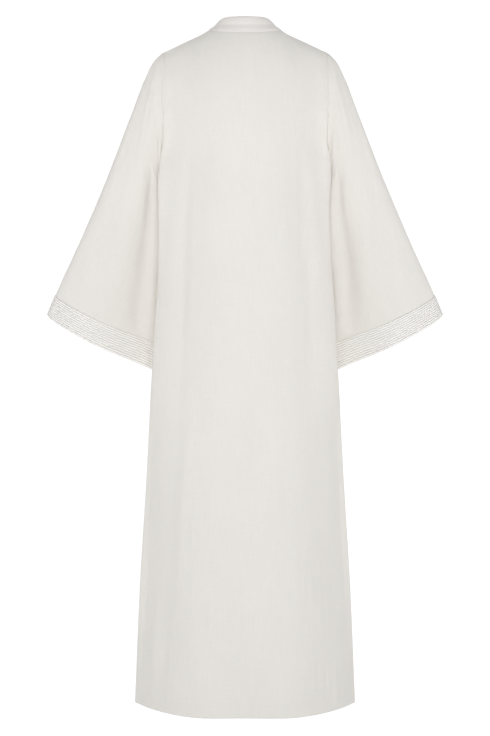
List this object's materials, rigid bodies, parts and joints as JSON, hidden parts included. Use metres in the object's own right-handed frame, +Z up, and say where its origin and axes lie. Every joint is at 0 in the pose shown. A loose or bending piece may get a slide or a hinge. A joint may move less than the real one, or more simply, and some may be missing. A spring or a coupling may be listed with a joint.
{
  "type": "kaftan",
  "caption": "Floor-length A-line kaftan with wide flared sleeves, tucked cuffs and a banded V neck, filled out as worn and open at neck, cuffs and hem.",
  "frame": {"origin": "midway between the two points where the shoulder seams meet the neckline, where the wearer's shoulders hold the garment", "axes": "+Z up; the front faces -Y and the back +Y; +X is the wearer's left"},
  "size_m": [0.8568, 0.2951, 1.4556],
  "materials": {
    "cloth": "matt to softly lustrous crinkled slub weave",
    "tucked_band": "the same cloth in narrow parallel tucks",
    "neckband_cloth": "the same cloth doubled and topstitched"
  },
  "bodies": {
    "root": {"back_panel": "cloth", "front_panel": "cloth", "sleeve_left": "cloth", "sleeve_right": "cloth", "cuff_left": "tucked_band", "cuff_right": "tucked_band", "neckband": "neckband_cloth"}
  },
  "joints": []
}
